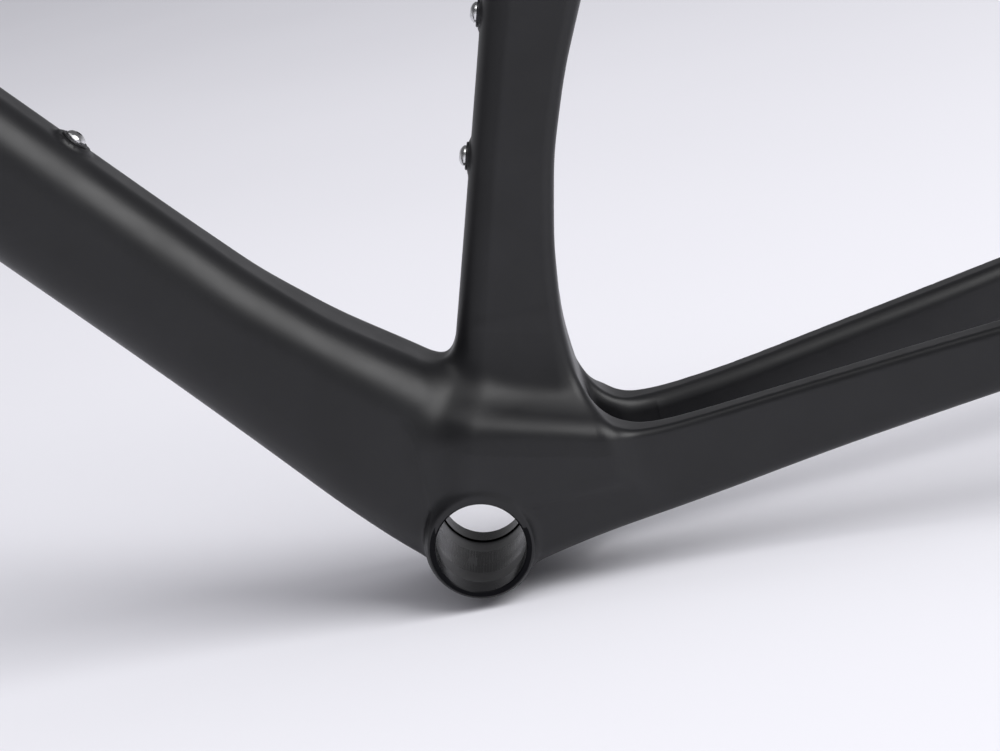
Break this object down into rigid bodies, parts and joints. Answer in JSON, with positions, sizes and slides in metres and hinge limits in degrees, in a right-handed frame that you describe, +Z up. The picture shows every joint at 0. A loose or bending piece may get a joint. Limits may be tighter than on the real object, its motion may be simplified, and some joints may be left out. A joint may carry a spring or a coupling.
{
  "type": "bicycle frame",
  "caption": "Moulded carbon road bicycle frame for disc brakes with press-fit bottom bracket, tapered head tube, round seatpost bore and through-axle dropouts.",
  "frame": {"origin": "centre of the bottom bracket shell", "axes": "+X forwards along the bicycle, +Y to the rider's left along the bottom bracket axis, +Z up, with the bicycle level as ridden"},
  "size_m": [0.8757, 0.1725, 0.586],
  "materials": {
    "carbon": "matt black paint over moulded carbon fibre laminate",
    "raw_carbon": "glossy raw moulded carbon fibre laminate",
    "black_alloy": "black anodised, satin",
    "bright_steel": "polished stainless steel",
    "dark_steel": "blackened steel",
    "black_plastic": "moulded nylon, matt",
    "rubber": "matt"
  },
  "bodies": {
    "frame": {"bottom_bracket_junction": "carbon", "bottom_bracket_shell": "raw_carbon", "down_tube": "carbon", "seat_tube": "carbon", "top_tube": "carbon", "head_tube": "carbon", "left_chainstay": "carbon", "right_chainstay": "carbon", "left_seatstay": "carbon", "right_seatstay": "carbon", "left_dropout": "carbon", "right_dropout": "carbon", "derailleur_hanger": "black_alloy", "hanger_screws": "dark_steel", "seat_clamp_bridge": "black_alloy", "seat_clamp_cover": "rubber", "down_tube_bottle_bosses": "black_alloy", "seat_tube_bottle_bosses": "black_alloy", "down_tube_bottle_screws": "bright_steel", "seat_tube_bottle_screws": "bright_steel", "cable_port_cover": "black_plastic", "cable_port_screws": "dark_steel", "brake_hose_grommet": "rubber", "gear_cable_grommet": "rubber", "front_derailleur_mount": "black_alloy", "front_derailleur_mount_screws": "dark_steel", "cable_guide": "black_plastic", "cable_guide_screw": "dark_steel"},
    "clamp_bolt": {"seat_clamp_bolt": "bright_steel"},
    "clamp_wedge": {"seat_clamp_wedge": "black_alloy"},
    "clamp_shoe": {"seat_clamp_shoe": "black_alloy"},
    "axle_washer": {"thru_axle_washer": "black_alloy"},
    "axle": {"thru_axle": "black_alloy"}
  },
  "joints": [
    {"name": "seat_clamp_bolt_turn", "type": "hinge", "parent": "frame", "child": "clamp_bolt", "pos_m": [-0.10983, 0, 0.46339], "axis": [0.284, 0, -0.9588], "range_deg": [0, 1085]},
    {"name": "seat_clamp_wedge_lift", "type": "slide", "parent": "frame", "child": "clamp_wedge", "axis": [-0.284, 0, 0.9588], "range_m": [0, 0.003]},
    {"name": "seat_clamp_shoe_slide", "type": "slide", "parent": "frame", "child": "clamp_shoe", "axis": [-0.9588, 0, -0.284], "range_m": [0, 0.0006]},
    {"name": "thru_axle_withdraw", "type": "slide", "parent": "frame", "child": "axle_washer", "axis": [0, 1, 0], "range_m": [0, 0.18]},
    {"name": "thru_axle_turn", "type": "hinge", "parent": "axle_washer", "child": "axle", "pos_m": [-0.40398, 0, 0.07], "axis": [0, 1, 0], "continuous": true}
  ],
  "couplings": [
    {"joint": "seat_clamp_bolt_turn", "follows": "seat_clamp_wedge_lift", "rad_per_m": 6283.2},
    {"joint": "seat_clamp_shoe_slide", "follows": "seat_clamp_wedge_lift", "ratio": 0.17633}
  ]
}
